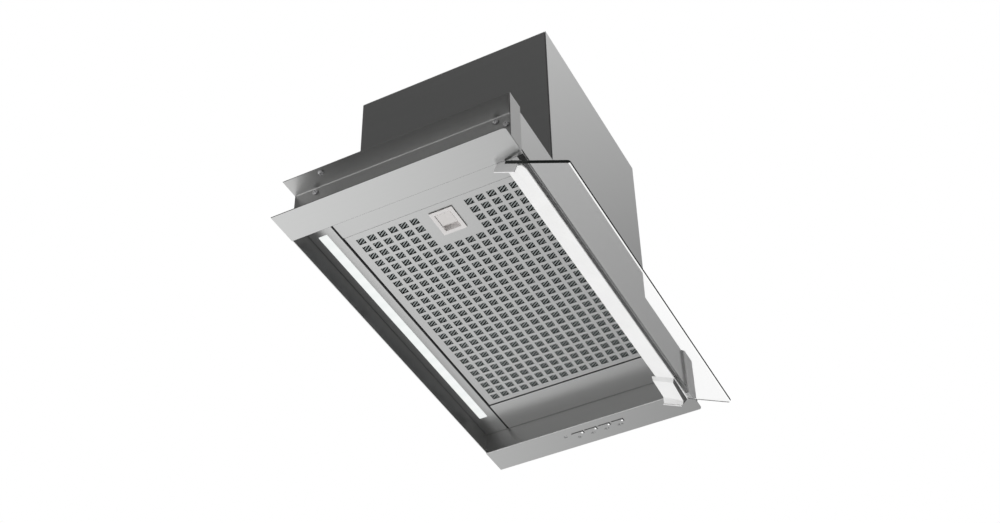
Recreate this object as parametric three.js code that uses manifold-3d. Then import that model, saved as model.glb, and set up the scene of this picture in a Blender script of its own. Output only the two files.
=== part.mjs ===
// Under-cabinet range hood with a folding glass visor, as an assembly of separate pieces.
// Millimetres, +Z up, +Y towards the wall, +X towards the end with the push buttons.
// The pieces are drawn in the hood's own frame: x = 0 at mid width, y = 0 at mid depth and
// z = 0 at the underside of the two end trims. The exported group shifts them so that the
// origin lies on the top plate, behind the duct box, where the hood meets the cabinet floor.
import * as THREE from "three";
import { mergeVertices } from "three/addons/utils/BufferGeometryUtils.js";
import Module from "manifold-3d";

const wasm = await Module();
wasm.setup();

// ---- driving dimensions -------------------------------------------------------------------
const sheet = 1; // folded steel sheet
const gap = 0.4; // between pieces that touch
const halfDepth = 140.8; // back face of the hood

const wallOut = 230.5; // outer face of the end walls
const wallIn = wallOut - sheet;
const flangeOut = 255.7; // tip of the side flanges
const flangeUnder = 66.5; // underside of the side flanges
const plateTop = flangeUnder + sheet; // the plane that meets the cabinet floor

const trimIn = 228.6; // inner edge of each end trim
const trimOut = 270;
const trimHalfDepth = 140.5;
const trimThick = 1.2;

const apronFace = -137.5; // front face of the front panel
const apronLow = 9;
const apronHigh = 67.6;

const duct = { left: -145.6, right: 113.7, back: 114.5, top: 286.7 }; // motor and duct box
const ductMidX = (duct.left + duct.right) / 2;
const ductMidY = (apronFace + duct.back) / 2;

const ceiling = 29.5; // underside of the recess between the trims
const seamY = 108; // black joint between the filter zone and the light channel
const seamHalf = 0.8;

const filter = { left: -179.2, right: 173.4, front: -109.8, back: 107, rim: 9, skin: 0.8 };

const latch = { x: -150.7, y: -10.1, w: 37.5, d: 29.1, innerW: 27, innerD: 19.4 };
const latchTravel = 5.5;

const led = { halfLength: 193.1, front: 120.3, back: 131 };

const button = { x: 244, w: 4.8, length: 15.6, pitch: 18.3, firstY: 17.6, count: 4, travel: 2 };
const indicator = { x: 243.7, y: 34.5, side: 3.2 };

const blower = { x: ductMidX, y: 19.5, z: 158, halfWidth: 61.7, start: 66, end: 95 };
const impellerR = 60;
const collarR = 74.5; // outside of the duct spigot
const collarWall = 1.5;
const collarTop = 326;
const flapZ = 300;

// The visor is drawn lying flat: v runs from the outer edge inwards, w is up, and its
// pane's lower face is w = 0. It is then tipped about its outer edge to hang open.
const visor = {
  tilt: THREE.MathUtils.degToRad(25.1),
  outerY: -190.03,
  outerZ: -36.4,
  halfWidth: 227.8,
  depth: 78.7,
  glass: 4,
};
const pivot = { v: 82, w: 8.4, r: 3 }; // hinge line of the visor, in the visor's own frame
const pinHeadR = pivot.r + 1.6;
const armX = 226.3; // inner face of each visor arm
const armThick = 1.4;

const origin = { y: 127.5, z: plateTop };

// ---- materials ----------------------------------------------------------------------------
const finish = (color, metalness, roughness, extra = {}) =>
  new THREE.MeshStandardMaterial({ color, metalness, roughness, ...extra });
const steel = finish(0xb9bbbb, 1, 0.38);
const galvanised = finish(0xa7abad, 1, 0.5);
const darkSteel = finish(0x3c3d3b, 0.6, 0.5);
const meshMetal = finish(0x8d9293, 1, 0.45);
const whitePlastic = finish(0xeeeeee, 0, 0.4);
const offWhite = finish(0xe4dfdc, 0, 0.45);
const greyPlastic = finish(0x8e9092, 0, 0.5);
const blackPlastic = finish(0x222426, 0, 0.55);
const lampWhite = finish(0xfafff8, 0, 0.3, { emissive: 0xffffff, emissiveIntensity: 1 });
const clearGlass = finish(0xe8eeec, 0, 0.03, { transparent: true, opacity: 0.3 });
const boardGreen = finish(0x2f6b45, 0, 0.6);
const brightScrew = finish(0xd8dadb, 1, 0.25);

// ---- helpers ------------------------------------------------------------------------------
const hood = new THREE.Group();
hood.position.set(0, -origin.y, -origin.z);

function add(name, geometry, material, parent = hood) {
  const mesh = new THREE.Mesh(geometry, material);
  mesh.name = name;
  parent.add(mesh);
  return mesh;
}

// A box between two corners.
function block(x0, x1, y0, y1, z0, z1) {
  const geometry = new THREE.BoxGeometry(x1 - x0, y1 - y0, z1 - z0);
  return geometry.translate((x0 + x1) / 2, (y0 + y1) / 2, (z0 + z1) / 2);
}

// A round bar along one axis, centred on a point.
function rod(axis, radius, length, x, y, z, sides = 24) {
  const geometry = new THREE.CylinderGeometry(radius, radius, length, sides);
  if (axis === "x") geometry.rotateZ(Math.PI / 2);
  if (axis === "z") geometry.rotateX(Math.PI / 2);
  return geometry.translate(x, y, z);
}

function solidOf(geometry) {
  const bare = new THREE.BufferGeometry();
  bare.setAttribute("position", geometry.getAttribute("position").clone());
  if (geometry.index) bare.setIndex(geometry.index);
  const merged = mergeVertices(bare, 1e-3);
  return new wasm.Manifold(
    new wasm.Mesh({
      numProp: 3,
      vertProperties: merged.attributes.position.array,
      triVerts: new Uint32Array(merged.index.array),
    }),
  );
}

function geometryOf(solid) {
  const mesh = solid.getMesh();
  const geometry = new THREE.BufferGeometry();
  geometry.setAttribute("position", new THREE.BufferAttribute(mesh.vertProperties, 3));
  geometry.setIndex(new THREE.BufferAttribute(mesh.triVerts, 1));
  return geometry;
}

const combine = (solids, how) => solids.reduce((a, b) => a[how](b));
const join = (...pieces) => geometryOf(combine(pieces.map(solidOf), "add"));
const cut = (body, ...tools) => geometryOf(combine([body, ...tools].map(solidOf), "subtract"));

// An outline in one plane, given depth along the plane's normal from a starting level.
// "z" draws x, y and rises in z; "x" draws y, z and runs in x; "y" draws x, z and runs in y.
function slab(outline, axis, start, depth) {
  const shape = outline instanceof THREE.Shape ? outline : new THREE.Shape(outline);
  const geometry = new THREE.ExtrudeGeometry(shape, {
    depth,
    bevelEnabled: false,
    curveSegments: 20,
  });
  if (axis === "x") geometry.applyMatrix4(new THREE.Matrix4().set(0, 0, 1, 0, 1, 0, 0, 0, 0, 1, 0, 0, 0, 0, 0, 1));
  if (axis === "y") {
    geometry.rotateX(Math.PI / 2);
    geometry.translate(0, depth, 0);
  }
  if (axis === "x") return geometry.translate(start, 0, 0);
  if (axis === "y") return geometry.translate(0, start, 0);
  return geometry.translate(0, 0, start);
}

const corners = (...pairs) => pairs.map(([a, b]) => new THREE.Vector2(a, b));

// ---- lower casing -------------------------------------------------------------------------
// Each end panel is one folded sheet: end wall, side flange at the top, front flange, and a
// short foot that carries the trim. Screw holes are cut where screws pass through.
const screwAt = { rear: [113, 60], front: [-111.3, 60.6], low: [-123.5, 50.5] };
const flangeScrew = { x: 249.7, y: 94.9 };
const screwHoleR = 2.2;
const panelFront = -140.6;
const frontBend = 3.5; // outer radius of the fold between end wall and front flange

function endPanel(side) {
  const low = trimThick + gap;
  const section = corners(
    [wallIn, low], [wallOut + 6, low], [wallOut + 6, low + sheet], [wallOut, low + sheet],
    [wallOut, flangeUnder], [flangeOut, flangeUnder], [flangeOut, plateTop], [wallIn, plateTop],
  );
  for (const point of section) point.x *= side;
  const bite = sheet / 2; // how far the front flange runs into the folds around it
  const flange = [wallOut - bite, flangeOut].map((x) => side * x).sort((a, b) => a - b);
  const foldBack = corners(
    [wallOut - 0.2, panelFront + frontBend + 0.6], [wallOut + frontBend + 0.3, panelFront + sheet - 0.2],
    [wallOut - 0.2, panelFront + sheet - 0.2],
  );
  const foldFront = new THREE.Shape();
  foldFront.moveTo(side * (wallIn - 1), panelFront + frontBend);
  foldFront.lineTo(side * wallIn, panelFront + frontBend);
  foldFront.quadraticCurveTo(side * wallIn, panelFront, side * (wallIn + frontBend), panelFront);
  foldFront.lineTo(side * (wallIn + frontBend), panelFront - 1);
  foldFront.lineTo(side * (wallIn - 1), panelFront - 1);
  for (const point of foldBack) point.x *= side;
  const folded = cut(
    join(
      slab(section, "y", panelFront, halfDepth - panelFront),
      block(...flange, panelFront, panelFront + sheet, low + bite, flangeUnder + bite),
      slab(foldBack, "z", low + bite, flangeUnder - low),
    ),
    slab(foldFront, "z", low - 1, plateTop - low + 2),
  );
  const wallHoles = Object.values(screwAt).map(([y, z]) =>
    rod("x", screwHoleR, 4, side * wallOut, y, z, 16),
  );
  const flangeHole = rod("z", screwHoleR, 4, side * flangeScrew.x, flangeScrew.y, flangeUnder, 16);
  const pivotAt = visorPoint(0, pivot.v, pivot.w);
  const pivotHole = rod("x", pivot.r + 0.4, 4, side * wallOut, pivotAt.y, pivotAt.z);
  const headRoom = rod("x", pinHeadR + 0.6, 4, side * (wallOut + 3), pivotAt.y, pivotAt.z);
  return cut(folded, ...wallHoles, flangeHole, pivotHole, headRoom);
}

// A point of the tipped visor, in the hood's frame.
function visorPoint(x, v, w) {
  const c = Math.cos(visor.tilt);
  const s = Math.sin(visor.tilt);
  return new THREE.Vector3(x, visor.outerY + v * c - w * s, visor.outerZ + v * s + w * c);
}

// Pan-head screw: a domed head on one side of a sheet and a short shank through it.
function screw(axis, direction) {
  const profile = corners([0, -3], [1.8, -3], [1.8, gap], [3.6, gap], [3.6, 1.4], [2.4, 2.5], [0, 2.7]);
  const geometry = new THREE.LatheGeometry(profile, 16);
  if (axis === "x") geometry.rotateZ(direction > 0 ? -Math.PI / 2 : Math.PI / 2);
  if (axis === "z") geometry.rotateX(direction > 0 ? Math.PI / 2 : -Math.PI / 2);
  return geometry;
}

for (const [name, side] of [["left", -1], ["right", 1]]) {
  add(`${name}_end_panel`, endPanel(side), steel);
  for (const [place, [y, z]] of Object.entries(screwAt)) {
    const piece = add(`screw_${name}_${place}`, screw("x", side), brightScrew);
    piece.position.set(side * wallOut, y, z);
  }
  const hanging = add(`screw_${name}_flange`, screw("z", -1), brightScrew);
  hanging.position.set(side * flangeScrew.x, flangeScrew.y, flangeUnder);
}

add(
  "front_panel",
  slab(
    corners(
      [-wallIn + gap, apronLow], [wallIn - gap, apronLow], [wallIn - gap, apronHigh],
      [duct.right, apronHigh], [duct.right, duct.top], [duct.left, duct.top],
      [duct.left, apronHigh], [-wallIn + gap, apronHigh],
    ),
    "y", apronFace, sheet,
  ),
  steel,
);
const insideFront = apronFace + sheet + gap;
add(
  "back_panel",
  block(
    -wallIn + gap, wallIn - gap, halfDepth - sheet, halfDepth, trimThick + gap, flangeUnder - gap,
  ),
  steel,
);
// The duct box comes up through the cut-out in the top plate.
add(
  "top_plate",
  cut(
    block(-wallIn + gap, wallIn - gap, insideFront, halfDepth, flangeUnder, plateTop),
    block(duct.left - gap, duct.right + gap, insideFront - 5, duct.back + gap, 60, 70),
  ),
  galvanised,
);

// ---- end trims, the right one slotted for the buttons and the indicator -----------------------
const buttonY = Array.from({ length: button.count }, (_, i) => button.firstY - i * button.pitch);
const slotPlay = 0.5;

function trimShape(side) {
  const corner = 4;
  const inner = side * trimIn;
  const outer = side * trimOut;
  const shape = new THREE.Shape();
  shape.moveTo(inner, trimHalfDepth);
  shape.lineTo(outer, trimHalfDepth);
  shape.lineTo(outer, corner - trimHalfDepth);
  shape.quadraticCurveTo(outer, -trimHalfDepth, outer - side * corner, -trimHalfDepth);
  shape.lineTo(inner, -trimHalfDepth);
  return shape;
}
const slots = buttonY.map((y) =>
  block(
    button.x - button.w / 2 - slotPlay, button.x + button.w / 2 + slotPlay,
    y - button.length / 2 - slotPlay, y + button.length / 2 + slotPlay, -1, trimThick + 1,
  ),
);
const pane = indicator.side / 2 + gap;
slots.push(
  block(
    indicator.x - pane, indicator.x + pane, indicator.y - pane, indicator.y + pane,
    -1, trimThick + 1,
  ),
);
add("left_trim", slab(trimShape(-1), "z", 0, trimThick), steel);
add("right_trim", cut(slab(trimShape(1), "z", 0, trimThick), ...slots), steel);

// ---- buttons, indicator and their board ----------------------------------------------------
const keyTop = 6;
const keyProud = 1; // how far the keys stand below the trim
buttonY.forEach((y, i) => {
  const half = button.w / 2;
  add(
    `button_${i + 1}`,
    join(
      block(
        button.x - half, button.x + half, y - button.length / 2, y + button.length / 2,
        -keyProud, keyTop - 1,
      ),
      block(button.x - half - 1.2, button.x + half + 1.2, y - 8.2, y + 8.2, trimThick + gap, trimThick + gap + 1),
      rod("z", 1.5, 2, button.x, y, keyTop - 1, 12),
    ),
    steel,
  );
});
add(
  "indicator_lens",
  block(
    indicator.x - indicator.side / 2, indicator.x + indicator.side / 2,
    indicator.y - indicator.side / 2, indicator.y + indicator.side / 2, 0.2, 7,
  ),
  offWhite,
);
const control = { x0: 238.6, x1: 264, y0: -50, y1: 46, z0: trimThick + gap, z1: 16 };
add(
  "control_housing",
  cut(
    block(control.x0, control.x1, control.y0, control.y1, control.z0, control.z1),
    block(control.x0 + 1.2, control.x1 - 1.2, control.y0 + 1.2, control.y1 - 1.2, 0, control.z1 - 1.4),
  ),
  blackPlastic,
);
add(
  "control_board",
  join(
    block(control.x0 + 1.6, control.x1 - 1.6, control.y0 + 1.6, control.y1 - 1.6, 12, 13.6),
    ...buttonY.map((y) => block(button.x - 3, button.x + 3, y - 3, y + 3, keyTop + button.travel + 0.3, 12.2)),
  ),
  boardGreen,
);

// ---- ceiling of the recess -----------------------------------------------------------------
const ceilTop = ceiling + sheet;
const ceilFront = insideFront;
const zoneFront = filter.front - 0.2;
const zoneBack = seamY - seamHalf;
add(
  "ceiling_strip_left",
  join(
    block(-wallIn + gap, filter.left - 0.5, zoneFront, zoneBack, ceiling, ceilTop),
    block(-wallIn + gap, -wallIn + gap + sheet, zoneFront, zoneBack, ceiling, ceilTop + 10),
  ),
  steel,
);
add(
  "ceiling_strip_right",
  join(
    block(filter.right + 1.8, wallIn - gap, zoneFront, zoneBack, ceiling, ceilTop),
    block(wallIn - gap - sheet, wallIn - gap, zoneFront, zoneBack, ceiling, ceilTop + 10),
  ),
  steel,
);
add(
  "ceiling_strip_front",
  block(-wallIn + gap, wallIn - gap, ceilFront, zoneFront - gap, ceiling, ceilTop),
  blackPlastic,
);
add(
  "light_channel",
  join(
    cut(
      block(
        -wallIn + gap, wallIn - gap, seamY + seamHalf, halfDepth - sheet - gap, ceiling, ceilTop,
      ),
      block(
        -led.halfLength - gap, led.halfLength + gap, led.front - gap, led.back + gap, 20, 40,
      ),
    ),
    block(-wallIn + gap, wallIn - gap, seamY + seamHalf, seamY + seamHalf + sheet, ceiling, ceilTop + 10),
  ),
  steel,
);
add(
  "led_diffuser",
  block(-led.halfLength, led.halfLength, led.front, led.back, ceiling - 0.3, ceilTop + 2),
  lampWhite,
);
add(
  "led_housing",
  cut(
    block(-led.halfLength - 3, led.halfLength + 3, led.front - 3, led.back + 3, ceilTop + gap, ceilTop + 9),
    block(-led.halfLength - gap, led.halfLength + gap, led.front - gap, led.back + gap, ceiling, ceilTop + 7.5),
  ),
  galvanised,
);
add(
  "led_board",
  block(-led.halfLength + 3, led.halfLength - 3, led.front + 1.5, led.back - 1.5, ceilTop + 4.5, ceilTop + 6),
  boardGreen,
);
add("led_driver", block(186, 224, -70, 10, ceilTop + gap, ceilTop + 22), blackPlastic);

// ---- grease filter -------------------------------------------------------------------------
const filterTop = ceiling + filter.rim;
const latchHole = block(
  latch.x - latch.innerW / 2 - 2.2, latch.x + latch.innerW / 2 + 2.2,
  latch.y - latch.innerD / 2 - 2.2, latch.y + latch.innerD / 2 + 2.2, ceiling - 2, filterTop + 1,
);
const boltHalf = 3;
const boltZ = [ceilTop + 0.6, ceilTop + 3.1];
const boltPassage = block(
  filter.left - 8, latch.x, latch.y - boltHalf - 0.6, latch.y + boltHalf + 0.6,
  boltZ[0] - 0.4, boltZ[1] + 0.5,
);
add(
  "filter_face",
  cut(
    block(filter.left, filter.right, filter.front, filter.back, ceiling, filterTop),
    block(
      filter.left + filter.skin, filter.right - filter.skin,
      filter.front + filter.skin, filter.back - filter.skin, ceiling + filter.skin, filterTop + 1,
    ),
    latchHole,
    boltPassage,
  ),
  steel,
);
const inset = filter.skin + gap;
add(
  "filter_mesh",
  cut(
    block(
      filter.left + inset, filter.right - inset, filter.front + inset, filter.back - inset,
      ceiling + filter.skin + gap, filterTop - 1.5,
    ),
    latchHole,
    boltPassage,
  ),
  meshMetal,
);

// The latch: a cup set in the face with a raised bezel, and a sliding pad with a bolt that
// reaches over the left ceiling strip.
const pad = { left: latch.x - latch.innerW / 2 + 0.5, right: latch.x + 5.2 };
add(
  "latch_housing",
  cut(
    join(
      block(
        latch.x - latch.w / 2, latch.x + latch.w / 2, latch.y - latch.d / 2, latch.y + latch.d / 2,
        ceiling - 1.6, ceiling - gap,
      ),
      block(
        latch.x - latch.innerW / 2 - 1.6, latch.x + latch.innerW / 2 + 1.6,
        latch.y - latch.innerD / 2 - 1.6, latch.y + latch.innerD / 2 + 1.6, ceiling - 1.6, filterTop - 1,
      ),
    ),
    block(
      latch.x - latch.innerW / 2, latch.x + latch.innerW / 2,
      latch.y - latch.innerD / 2, latch.y + latch.innerD / 2, ceiling - 3, filterTop - 2.2,
    ),
    boltPassage,
  ),
  offWhite,
);
add(
  "latch_slider",
  join(
    block(
      pad.left, pad.right, latch.y - latch.innerD / 2 + 0.5, latch.y + latch.innerD / 2 - 0.5,
      ceiling - 1.1, boltZ[1],
    ),
    block(filter.left - 5.5, latch.x, latch.y - boltHalf, latch.y + boltHalf, boltZ[0], boltZ[1]),
  ),
  offWhite,
);

// ---- duct box ------------------------------------------------------------------------------
const boxLow = flangeUnder - 5;
const boxHigh = duct.top - sheet;
add(
  "duct_box_left_side",
  block(duct.left, duct.left + sheet, insideFront, duct.back, boxLow, boxHigh - gap),
  steel,
);
add(
  "duct_box_right_side",
  block(duct.right - sheet, duct.right, insideFront, duct.back, boxLow, boxHigh - gap),
  steel,
);
add(
  "duct_box_back",
  block(
    duct.left + sheet + gap, duct.right - sheet - gap, duct.back - sheet, duct.back,
    boxLow, boxHigh - gap,
  ),
  steel,
);
const glandAt = { x: duct.right - 30, y: duct.back - 26 };
add(
  "duct_box_top",
  cut(
    block(duct.left, duct.right, insideFront, duct.back, boxHigh, duct.top),
    rod("z", collarR - collarWall, 10, ductMidX, ductMidY, duct.top, 48),
    rod("z", 6.6, 10, glandAt.x, glandAt.y, duct.top, 16),
  ),
  steel,
);
const gland = new THREE.LatheGeometry(
  corners(
    [3.6, -8], [6, -8], [6, sheet + gap], [10, sheet + gap], [10, 6], [8.5, 7], [8.5, 13],
    [6.5, 16], [3.6, 16], [3.6, -8],
  ),
  12,
);
gland.rotateX(Math.PI / 2).translate(glandAt.x, glandAt.y, boxHigh);
add("cable_gland", gland, blackPlastic);

// ---- blower --------------------------------------------------------------------------------
// The scroll opens from a tongue and widens clockwise, seen from the left end, to a mouth on top.
const scrollTop = boxHigh - gap;
const tongueAngle = THREE.MathUtils.degToRad(60);

function scrollOutline(offset) {
  const points = [];
  const steps = 40;
  for (let i = 0; i <= steps; i++) {
    const t = i / steps;
    const angle = tongueAngle - t * (Math.PI + tongueAngle);
    const r = blower.start + (blower.end - blower.start) * t + offset;
    points.push(new THREE.Vector2(blower.y + r * Math.cos(angle), blower.z + r * Math.sin(angle)));
  }
  points.push(new THREE.Vector2(blower.y - blower.end - offset, scrollTop));
  const tongueY = blower.y + (blower.start + offset) * Math.cos(tongueAngle);
  points.push(new THREE.Vector2(tongueY, scrollTop));
  return points;
}
const scrollWall = 1.5;
const scrollPass = block(
  blower.x - blower.halfWidth - 5, blower.x + blower.halfWidth + 5,
  blower.y - blower.end, blower.y + blower.start * Math.cos(tongueAngle), scrollTop - 1, scrollTop + 5,
);
add(
  "scroll_wrap",
  cut(
    slab(scrollOutline(scrollWall), "x", blower.x - blower.halfWidth, 2 * blower.halfWidth),
    slab(scrollOutline(0), "x", blower.x - blower.halfWidth - 1, 2 * blower.halfWidth + 2),
    scrollPass,
  ),
  galvanised,
);
const inletR = 54;
for (const [name, side] of [["left", -1], ["right", 1]]) {
  const inner = blower.x + side * (blower.halfWidth + gap);
  const start = side < 0 ? inner - scrollWall : inner;
  add(
    `scroll_side_${name}`,
    cut(
      slab(scrollOutline(scrollWall), "x", start, scrollWall),
      rod("x", inletR, 10, start, blower.y, blower.z, 36),
    ),
    galvanised,
  );
}

// Impeller: two end rings and a middle disc joined by forward-curved blades.
const impellerHalf = 55;
const bladeCount = 26;
const ring = (x) =>
  cut(
    rod("x", impellerR, 2, x, blower.y, blower.z, 32),
    rod("x", impellerR - 9, 4, x, blower.y, blower.z, 32),
  );
const blades = Array.from({ length: bladeCount }, (_, i) => {
  const blade = new THREE.BoxGeometry(2 * impellerHalf, 9, 1.2);
  blade.rotateX(0.6).translate(0, impellerR - 4.6, 0);
  blade.rotateX((2 * Math.PI * i) / bladeCount);
  return blade.translate(blower.x, blower.y, blower.z);
});
const shaftR = 4;
add(
  "impeller",
  cut(
    join(
      ring(blower.x - impellerHalf),
      ring(blower.x + impellerHalf),
      rod("x", impellerR - 1, 2, blower.x, blower.y, blower.z, 32),
      rod("x", 12, 22, blower.x + 6, blower.y, blower.z),
      ...blades,
    ),
    rod("x", shaftR + gap, 60, blower.x, blower.y, blower.z),
  ),
  blackPlastic,
);
const motor = { r: 38, x0: blower.x - 72, x1: blower.x - 9 };
add(
  "motor_shaft",
  rod("x", shaftR, 60, blower.x - 13, blower.y, blower.z, 16),
  galvanised,
);
add(
  "motor_body",
  cut(
    join(
      rod("x", motor.r, motor.x1 - motor.x0, (motor.x0 + motor.x1) / 2, blower.y, blower.z, 32),
      rod("x", 16, 6, motor.x0 - 2, blower.y, blower.z),
    ),
    rod("x", shaftR + gap, 60, blower.x - 13 - 0.5, blower.y, blower.z, 16),
  ),
  galvanised,
);
// A clamp ring round the motor with three arms to the left side of the scroll.
const bracketX = blower.x - blower.halfWidth - gap - scrollWall - gap - 3;
const arms = [0.5, 0.5 + 2 / 3, 0.5 + 4 / 3].map((turn) => {
  const arm = new THREE.BoxGeometry(3, 26, 12).translate(bracketX + 1.5, motor.r + 12, 0);
  return arm.rotateX(turn * Math.PI).translate(0, blower.y, blower.z);
});
add(
  "motor_bracket",
  cut(
    join(rod("x", motor.r + 4, 3, bracketX + 1.5, blower.y, blower.z, 32), ...arms),
    rod("x", motor.r + gap, 10, bracketX, blower.y, blower.z, 32),
  ),
  galvanised,
);
add("capacitor", rod("z", 15, 60, duct.right - 26, 66, 108), blackPlastic);
add("terminal_box", block(duct.right - 52, duct.right - 3, 66, 108, 224, 268), greyPlastic);

// ---- duct spigot and its two back-draught flaps ----------------------------------------------
const flapGap = 2.4; // from the middle of the spigot to each spindle
const spigot = new THREE.LatheGeometry(
  corners(
    [collarR - collarWall, gap], [collarR + 7, gap], [collarR + 7, 2], [collarR, 2],
    [collarR, collarTop - duct.top], [collarR - collarWall, collarTop - duct.top],
    [collarR - collarWall, flapZ - duct.top - 1.2], [collarR - 4, flapZ - duct.top - 1.6],
    [collarR - 4, flapZ - duct.top - 3], [collarR - collarWall, flapZ - duct.top - 4.4],
    [collarR - collarWall, gap],
  ),
  48,
);
spigot.rotateX(Math.PI / 2).translate(ductMidX, ductMidY, duct.top);
add(
  "duct_spigot",
  cut(
    spigot,
    ...[-1, 1].map((s) => rod("x", 1.9, 2 * collarR + 10, ductMidX, ductMidY + s * flapGap, flapZ, 16)),
  ),
  blackPlastic,
);
for (const [name, side] of [["front", -1], ["rear", 1]]) {
  const spindleY = ductMidY + side * flapGap;
  const r = collarR - collarWall - 1;
  const disc = rod("z", r, 1.2, ductMidX, ductMidY, flapZ, 48);
  const keep = side < 0
    ? block(ductMidX - 80, ductMidX + 80, ductMidY - 90, spindleY, flapZ - 3, flapZ + 3)
    : block(ductMidX - 80, ductMidX + 80, spindleY, ductMidY + 90, flapZ - 3, flapZ + 3);
  const half = geometryOf(solidOf(disc).intersect(solidOf(keep)));
  add(
    `damper_flap_${name}`,
    join(half, rod("x", 1.5, 2 * (collarR - 0.3), ductMidX, spindleY, flapZ, 12)),
    blackPlastic,
  );
}

// ---- folding glass visor ---------------------------------------------------------------------
const visorGroup = new THREE.Group();
visorGroup.position.set(0, visor.outerY, visor.outerZ);
visorGroup.rotation.x = visor.tilt;
hood.add(visorGroup);

add(
  "visor_glass",
  block(-visor.halfWidth, visor.halfWidth, 0, visor.depth, 0, visor.glass),
  clearGlass,
  visorGroup,
);
// White channel that grips the pane's inner edge, its outer leaf with cut corners.
const rail = { half: armX - 0.4, outer: 55, wall: 1.2, cornerX: 6, cornerV: 2.4 };
const leaf = slab(
  corners(
    [-rail.half, rail.outer + rail.cornerV], [-rail.half + rail.cornerX, rail.outer],
    [rail.half - rail.cornerX, rail.outer], [rail.half, rail.outer + rail.cornerV],
    [rail.half, visor.depth + gap + rail.wall], [-rail.half, visor.depth + gap + rail.wall],
  ),
  "z", -gap - rail.wall, rail.wall,
);
add(
  "visor_rail",
  join(
    leaf,
    block(
      -rail.half, rail.half, visor.depth + gap, visor.depth + gap + rail.wall,
      -gap - rail.wall, visor.glass + gap + rail.wall,
    ),
    block(
      -rail.half, rail.half, rail.outer + 6, visor.depth + gap + rail.wall,
      visor.glass + gap, visor.glass + gap + rail.wall,
    ),
  ),
  whitePlastic,
  visorGroup,
);
// Each arm is a plate on the pane's end: it reaches down below the pane, grips its corner in
// a slot and rises to the pivot pin in the end wall.
const arm = { v0: 62, v1: 88, low: -11.5, high: 15, jaw: 66 };
for (const [name, side] of [["left", -1], ["right", 1]]) {
  const start = side < 0 ? -armX - armThick : armX;
  const plate = slab(
    corners(
      [arm.v0, arm.low], [arm.v1, arm.low], [arm.v1 + 1, arm.high - 3],
      [arm.v1 - 3, arm.high], [arm.jaw + 7.5, arm.high], [arm.v0 + 0.5, visor.glass + gap + 0.6],
    ),
    "x", start, armThick,
  );
  const slot = block(
    start - 1, start + armThick + 1, arm.v0 - 10, visor.depth + gap, -gap, visor.glass + gap,
  );
  const pinHole = rod("x", pivot.r + gap, 10, start, pivot.v, pivot.w);
  add(`visor_arm_${name}`, cut(plate, slot, pinHole), whitePlastic, visorGroup);
  const inside = armX - 8;
  const outside = wallOut + 3;
  const reach = (outside - inside) / 2;
  add(
    `pivot_pin_${name}`,
    join(
      rod("x", pivot.r, outside - inside, side * (inside + reach), pivot.v, pivot.w),
      rod("x", pinHeadR, 1.2, side * (outside - 0.6), pivot.v, pivot.w),
    ),
    brightScrew,
    visorGroup,
  );
}
// The friction damper: its barrel hides behind the rail at the right-hand end, and a bevelled
// cover stands on the rail over it.
const cover = { x0: 177.5, x1: armX - 0.4, ramp: 5, face: -5.5, v0: 56, v1: 87 };
add(
  "damper_cover",
  join(
    slab(
      corners(
        [cover.x0, -rail.wall - 2 * gap], [cover.x0 + cover.ramp, cover.face],
        [cover.x1 - 5, cover.face], [cover.x1, arm.low + 1], [cover.x1, -rail.wall - 2 * gap],
      ),
      "y", cover.v0, cover.v1 - cover.v0,
    ),
    block(
      cover.x0, cover.x1, visor.depth + rail.wall + 2 * gap, cover.v1,
      -rail.wall - 3 * gap, visor.glass,
    ),
  ),
  whitePlastic,
  visorGroup,
);
add(
  "visor_damper",
  cut(
    rod("x", 5, 34, armX - 0.6 - 17, pivot.v + 1.6, pivot.w + 1.6),
    rod("x", pivot.r + gap, 20, armX, pivot.v, pivot.w),
  ),
  blackPlastic,
  visorGroup,
);

export default hood;
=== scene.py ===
"""Looks of the under-cabinet range hood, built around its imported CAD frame."""

import math

import bmesh
import bpy
from mathutils import Matrix, Vector


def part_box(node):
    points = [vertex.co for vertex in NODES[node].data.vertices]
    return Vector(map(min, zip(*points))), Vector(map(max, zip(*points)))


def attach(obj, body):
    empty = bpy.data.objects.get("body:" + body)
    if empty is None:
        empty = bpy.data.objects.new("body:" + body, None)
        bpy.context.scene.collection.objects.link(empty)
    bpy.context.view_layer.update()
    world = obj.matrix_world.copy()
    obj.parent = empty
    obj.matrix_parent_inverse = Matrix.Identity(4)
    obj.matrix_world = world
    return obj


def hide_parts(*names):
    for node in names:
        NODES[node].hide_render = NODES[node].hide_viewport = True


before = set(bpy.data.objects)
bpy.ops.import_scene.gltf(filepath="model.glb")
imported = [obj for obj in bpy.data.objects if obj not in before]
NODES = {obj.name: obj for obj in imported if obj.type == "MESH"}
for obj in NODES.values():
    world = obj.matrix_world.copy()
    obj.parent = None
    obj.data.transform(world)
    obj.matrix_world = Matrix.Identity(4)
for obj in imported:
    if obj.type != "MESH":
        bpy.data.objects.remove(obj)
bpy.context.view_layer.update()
MM = 0.001

# The hood's own frame, in which its parts are drawn: x = 0 at mid width, y = 0 at mid depth and
# z = 0 at the trims' underside, all in millimetres.
trim_low, trim_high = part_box("left_trim")
HOOD = Vector((0.0, (trim_low.y + trim_high.y) / 2, trim_low.z))


def at(x, y, z):
    """A point of the hood's frame, in metres in the row frame."""
    return HOOD + Vector((x, y, z)) * MM


def hood_box(node):
    """Lowest and highest corner of a CAD node, in the hood's frame in millimetres."""
    low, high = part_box(node)
    return (low - HOOD) / MM, (high - HOOD) / MM


def along_depth(x, z, y):
    """Places an outline drawn in x and z, which is then carried from front to back."""
    return at(x, y, z)


def about(centre):
    """Places millimetres around a point of the row frame."""
    return lambda x, y, z: centre + Vector((x, y, z)) * MM


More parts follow.
